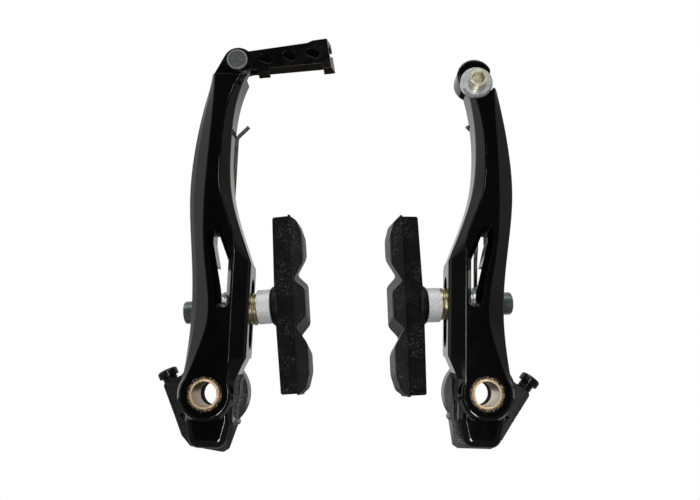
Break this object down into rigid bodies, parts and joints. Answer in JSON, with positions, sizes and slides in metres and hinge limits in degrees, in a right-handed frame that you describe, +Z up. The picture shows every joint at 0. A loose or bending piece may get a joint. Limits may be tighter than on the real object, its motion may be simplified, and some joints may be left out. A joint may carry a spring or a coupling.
{
  "type": "linear-pull rim brake",
  "caption": "Pair of upright rim brake arms with brass pivot bushes, sprung return, ball-seated rubber pads, a swinging cable link on one arm and a cable anchor on the other.",
  "frame": {"origin": "midway between the two pivot axes, on the plane where the spring holders meet the bosses of the frame", "axes": "+X from the left arm to the right arm as seen from the front, +Y back to the frame along the pivot axes, +Z up along the arms"},
  "size_m": [0.1308, 0.0281, 0.1422],
  "materials": {
    "arm_enamel": "gloss black enamel",
    "link_enamel": "satin black enamel",
    "bushing_brass": "drawn brass",
    "holder_plastic": "matt moulded",
    "bright_steel": "zinc plated",
    "black_steel": "black oxide",
    "spring_steel": "dark wire",
    "yellow_zinc": "yellow zinc plated",
    "yellow_zinc_bolt": "pale yellow zinc plated",
    "silver_alloy": "matt turned",
    "pad_rubber": "moulded",
    "rivet_steel": "dull steel"
  },
  "bodies": {
    "frame_side": {"left_spring_holder": "holder_plastic", "left_locating_pin": "bright_steel", "left_return_spring": "spring_steel", "right_spring_holder": "holder_plastic", "right_locating_pin": "bright_steel", "right_return_spring": "spring_steel"},
    "left_arm": {"left_arm": "arm_enamel", "left_pivot_bushing": "bushing_brass", "left_spring_stop": "bright_steel", "left_link_rivet": "rivet_steel"},
    "right_arm": {"right_arm": "arm_enamel", "right_pivot_bushing": "bushing_brass", "right_spring_stop": "bright_steel", "right_anchor_washer": "bright_steel", "right_anchor_bolt": "yellow_zinc_bolt"},
    "cable_link": {"left_cable_link": "link_enamel"},
    "left_pad_carrier": {"left_inner_dome_washer": "yellow_zinc", "left_outer_dome_washer": "bright_steel"},
    "left_pad": {"left_brake_pad": "pad_rubber", "left_pad_stud": "bright_steel", "left_inner_cup_washer": "silver_alloy", "left_outer_cup_washer": "silver_alloy", "left_flat_washer": "bright_steel", "left_pad_nut": "bright_steel"},
    "left_screw": {"left_tension_screw": "black_steel"},
    "right_pad_carrier": {"right_inner_dome_washer": "yellow_zinc", "right_outer_dome_washer": "bright_steel"},
    "right_pad": {"right_brake_pad": "pad_rubber", "right_pad_stud": "bright_steel", "right_inner_cup_washer": "silver_alloy", "right_outer_cup_washer": "silver_alloy", "right_flat_washer": "bright_steel", "right_pad_nut": "bright_steel"},
    "right_screw": {"right_tension_screw": "black_steel"}
  },
  "joints": [
    {"name": "left_arm_pivot", "type": "hinge", "parent": "frame_side", "child": "left_arm", "pos_m": [-0.04535, 0, 0], "axis": [0, 1, 0], "range_deg": [-25, 6], "stiffness_Nm_per_rad": 0.6, "deforming": ["left_return_spring"]},
    {"name": "right_arm_pivot", "type": "hinge", "parent": "frame_side", "child": "right_arm", "pos_m": [0.04535, 0, 0], "axis": [0, -1, 0], "range_deg": [-25, 6], "stiffness_Nm_per_rad": 0.6, "deforming": ["right_return_spring"]},
    {"name": "link_pivot", "type": "hinge", "parent": "left_arm", "child": "cable_link", "pos_m": [-0.03805, -0.0169, 0.11463], "axis": [0, 1, 0], "range_deg": [-60, 14]},
    {"name": "left_pad_height", "type": "slide", "parent": "left_arm", "child": "left_pad_carrier", "axis": [0.0297, 0, 0.9996], "range_m": [-0.007, 0.005]},
    {"name": "left_pad_swivel", "type": "hinge", "parent": "left_pad_carrier", "child": "left_pad", "pos_m": [-0.03591, -0.01115, 0.02833], "axis": [-0.9946, 0.0781, -0.0681], "range_deg": [-90, 90]},
    {"name": "left_screw_turn", "type": "hinge", "parent": "frame_side", "child": "left_screw", "pos_m": [-0.05998, -0.0046, 0.00402], "axis": [-0.4431, 0, 0.8965], "range_deg": [-720, 720]},
    {"name": "right_pad_height", "type": "slide", "parent": "right_arm", "child": "right_pad_carrier", "axis": [0.0297, 0, 0.9996], "range_m": [-0.007, 0.005]},
    {"name": "right_pad_swivel", "type": "hinge", "parent": "right_pad_carrier", "child": "right_pad", "pos_m": [0.03764, -0.01115, 0.02974], "axis": [0.9897, 0.1389, 0.0352], "range_deg": [-90, 90]},
    {"name": "right_screw_turn", "type": "hinge", "parent": "frame_side", "child": "right_screw", "pos_m": [0.06049, -0.0046, 0.00105], "axis": [0.6115, 0, 0.7912], "range_deg": [-720, 720]}
  ]
}
